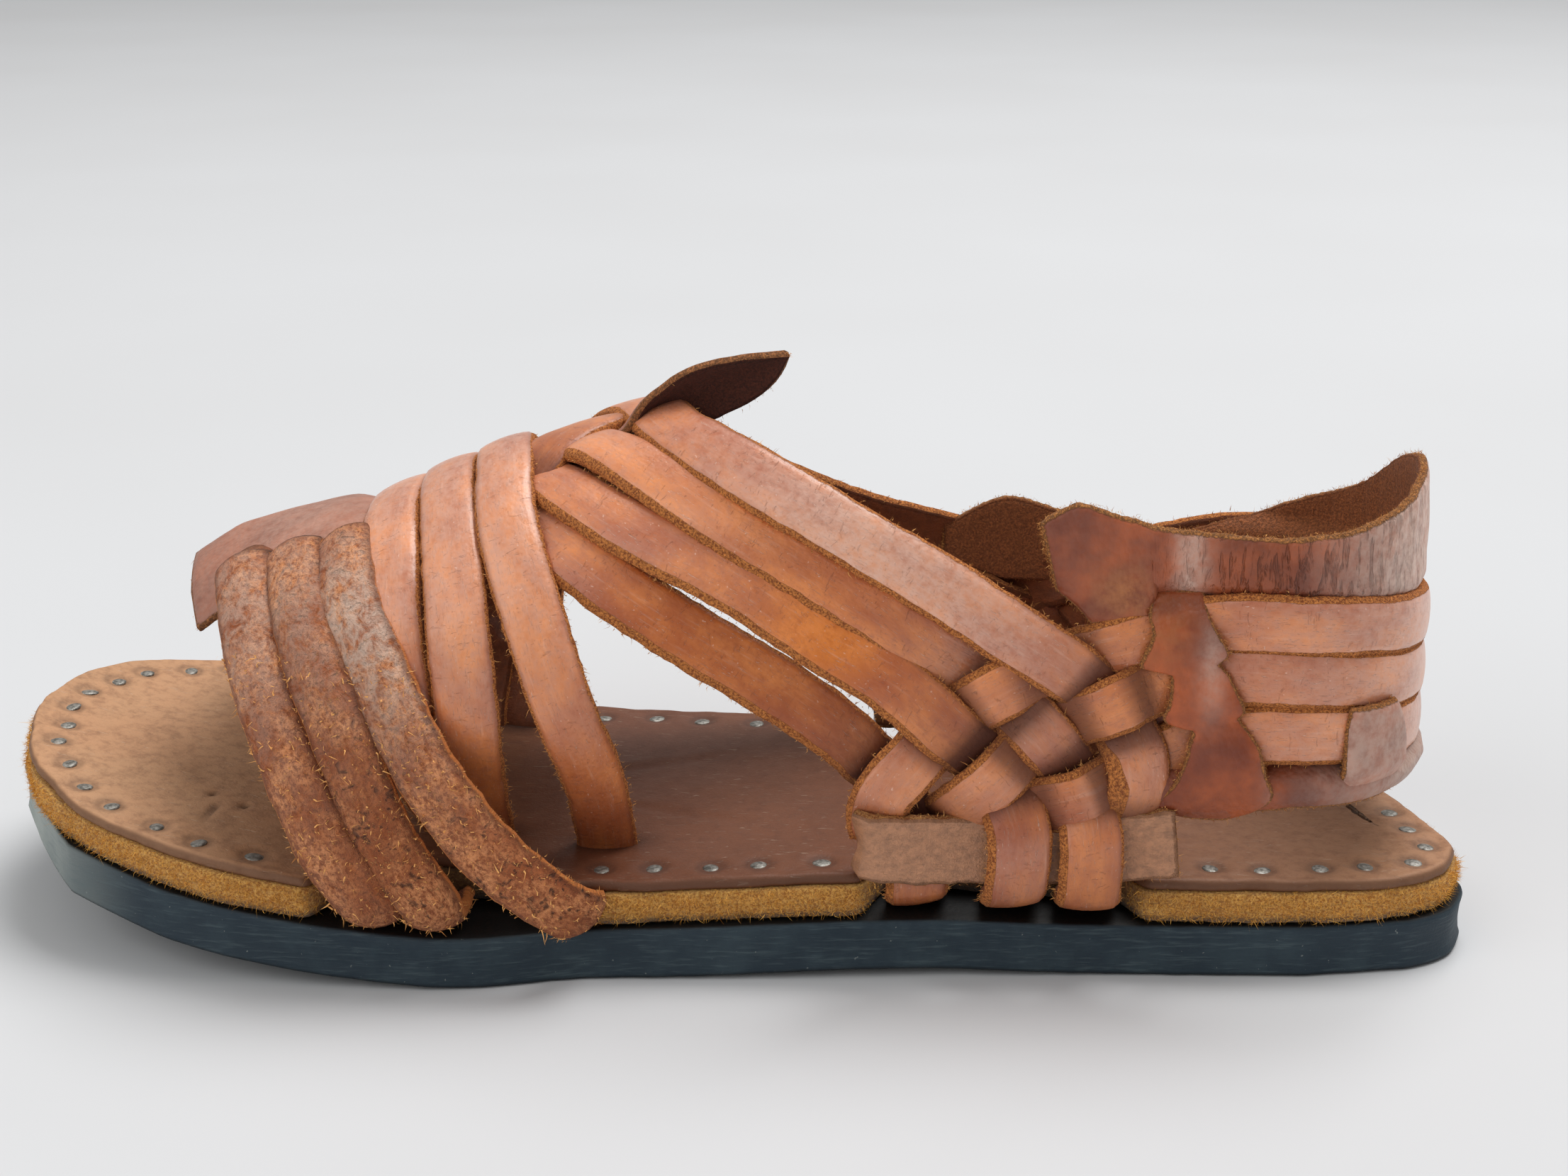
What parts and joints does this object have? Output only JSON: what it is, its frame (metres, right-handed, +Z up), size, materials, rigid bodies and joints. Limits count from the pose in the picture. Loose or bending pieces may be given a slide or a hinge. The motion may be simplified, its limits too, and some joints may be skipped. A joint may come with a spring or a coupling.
{
  "type": "huarache sandal",
  "caption": "Open-toed leather sandal with woven flat straps, slit heel cuff, tongue strip, leather footbed and tyre-rubber sole; left foot.",
  "frame": {"origin": "on the floor, under the middle of the box that the sandal fills", "axes": "+X from toe to heel, along the length; +Y towards the inner (big toe) side of this left sandal; +Z up"},
  "size_m": [0.2918, 0.1082, 0.1141],
  "materials": {
    "tyre_rubber": "blue-black, knife-cut edge with fine slanting marks",
    "tan_midsole_leather": "raw fuzzy tan edge",
    "footbed_leather": "smooth worn brown, darker in the middle",
    "strap_leather": "waxed red-brown face, raw tan edges",
    "suede_strap_leather": "rough flesh side out, dusty",
    "tongue_leather": "smooth on top, dark flesh side below",
    "cuff_leather": "soft brown, fine wrinkles, paler at the back",
    "raw_edge_fibre": "frayed tan fibres",
    "nail_steel": "dull grey nail heads"
  },
  "bodies": {
    "root": {"outsole": "tyre_rubber", "midsole": "tan_midsole_leather", "insole": "footbed_leather", "upper_straps": "strap_leather", "tongue_strip": "tongue_leather", "heel_cuff": "cuff_leather"}
  },
  "joints": []
}
